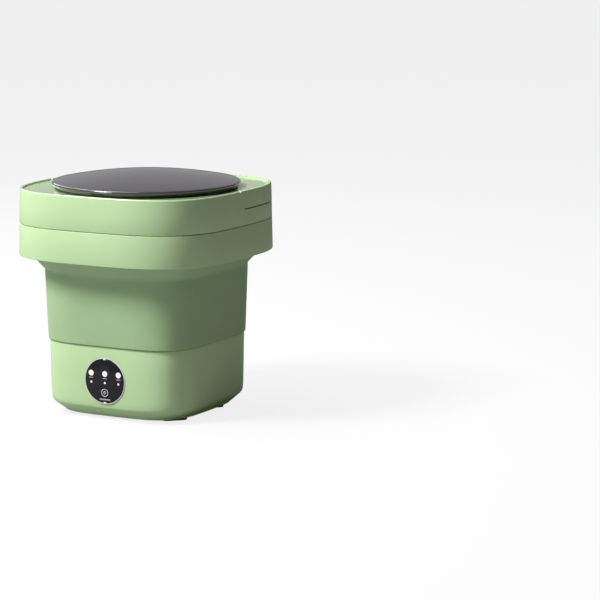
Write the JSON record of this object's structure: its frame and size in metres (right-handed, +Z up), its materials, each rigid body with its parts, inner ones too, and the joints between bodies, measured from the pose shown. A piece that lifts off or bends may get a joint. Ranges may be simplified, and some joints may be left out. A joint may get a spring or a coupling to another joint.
{
  "type": "portable mini washer",
  "caption": "Folding portable mini washer: green base with round control panel, soft folding sleeve, wide head ring with flush carry handle, smoked round lift-off lid.",
  "frame": {"origin": "centre of the base on the floor", "axes": "+Z up, control panel faces -Y, +X to the right when looking along +Y"},
  "size_m": [0.2874, 0.2874, 0.306],
  "materials": {
    "green_shell": "satin moulded",
    "green_sleeve": "matte soft",
    "smoke_lid": "glossy translucent",
    "black_trim": "gloss",
    "dark_rubber": "matte",
    "tub_plastic": "satin",
    "panel_black": "gloss",
    "panel_white": "gloss",
    "bezel_pale": "satin",
    "steel": "turned",
    "motor_metal": "zinc",
    "pulley_plastic": "moulded",
    "pulley_metal": "turned",
    "belt_rubber": "matte",
    "board": "satin",
    "wire_red": "satin",
    "inner_black": "satin"
  },
  "bodies": {
    "base": {"base_housing": "green_shell", "bottom_cover": "green_shell", "rubber_feet": "dark_rubber", "cover_screws": "steel", "wash_tub": "tub_plastic", "lower_clamp_ring": "inner_black", "folding_sleeve": "green_sleeve", "motor_mount": "motor_metal", "mount_screws": "steel", "motor_can": "motor_metal", "motor_screws": "steel", "shaft_housing": "inner_black", "shaft_bearings": "steel", "shaft_seal": "dark_rubber", "drive_belt": "belt_rubber", "drain_elbow": "inner_black", "dc_inlet": "inner_black", "control_board": "board", "panel_bezel": "bezel_pale", "panel_fascia": "panel_black", "indicator_lenses": "panel_white", "wire_harness": "wire_red"},
    "head": {"head_lower_shell": "green_shell", "head_upper_shell": "green_shell", "head_liner": "tub_plastic", "upper_clamp_ring": "inner_black", "head_screws": "steel", "handle_pins": "steel"},
    "handle": {"carry_handle": "green_shell"},
    "lid": {"lid_dome": "smoke_lid", "lid_skirt": "black_trim", "lid_seal": "dark_rubber"},
    "impeller": {"impeller": "tub_plastic", "impeller_shaft": "steel", "impeller_cap": "steel", "drive_pulley": "pulley_plastic"},
    "motor_rotor": {"motor_shaft": "steel", "motor_pulley": "pulley_metal"},
    "power_button": {"power_button": "panel_black"},
    "drain_plug": {"drain_plug": "dark_rubber"}
  },
  "joints": [
    {"name": "fold_slide", "type": "slide", "parent": "base", "child": "head", "axis": [0, 0, 1], "range_m": [-0.1755, 0], "deforming": ["folding_sleeve"]},
    {"name": "lid_lift", "type": "slide", "parent": "head", "child": "lid", "axis": [0, 0, 1], "range_m": [0, 0.15]},
    {"name": "handle_pivot", "type": "hinge", "parent": "head", "child": "handle", "pos_m": [0, 0.0009, 0.2825], "axis": [1, 0, 0], "range_deg": [0, 90]},
    {"name": "impeller_spin", "type": "hinge", "parent": "base", "child": "impeller", "pos_m": [0, 0, 0.05], "axis": [0, 0, 1], "continuous": true},
    {"name": "motor_spin", "type": "hinge", "parent": "base", "child": "motor_rotor", "pos_m": [-0.058, 0, 0.02], "axis": [0, 0, 1], "continuous": true},
    {"name": "button_press", "type": "slide", "parent": "base", "child": "power_button", "axis": [0, 1, 0], "range_m": [0, 0.001], "stiffness_N_per_m": 400},
    {"name": "plug_pull", "type": "slide", "parent": "base", "child": "drain_plug", "axis": [0, 1, 0], "range_m": [0, 0.03]}
  ],
  "couplings": [
    {"joint": "motor_spin", "follows": "impeller_spin", "ratio": 4}
  ]
}
